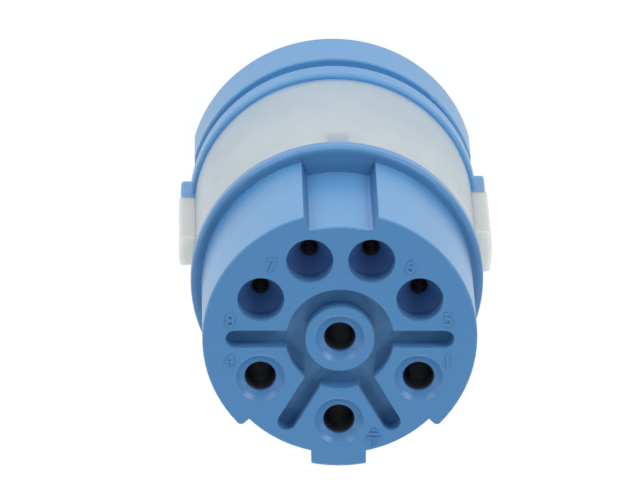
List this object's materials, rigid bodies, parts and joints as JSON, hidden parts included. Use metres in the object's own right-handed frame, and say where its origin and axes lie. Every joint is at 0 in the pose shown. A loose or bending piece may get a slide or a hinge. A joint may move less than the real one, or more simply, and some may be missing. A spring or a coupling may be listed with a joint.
{
  "type": "circular connector insert",
  "caption": "Round keyed plastic insert of a circular power connector, socket side, with stepped ways for power and signal contacts and a snapped-on locking sleeve.",
  "frame": {"origin": "centre of the rear face, on the insert's axis", "axes": "+Z along the axis towards the mating face, +Y towards the wide key notch, +X towards the wide lug"},
  "size_m": [0.0214, 0.0198, 0.0292],
  "materials": {
    "blue_plastic": "satin moulded glass-filled plastic",
    "natural_plastic": "satin, slightly translucent natural plastic"
  },
  "bodies": {
    "root": {"contact_carrier": "blue_plastic", "locking_sleeve": "natural_plastic", "rear_body": "blue_plastic"}
  },
  "joints": []
}
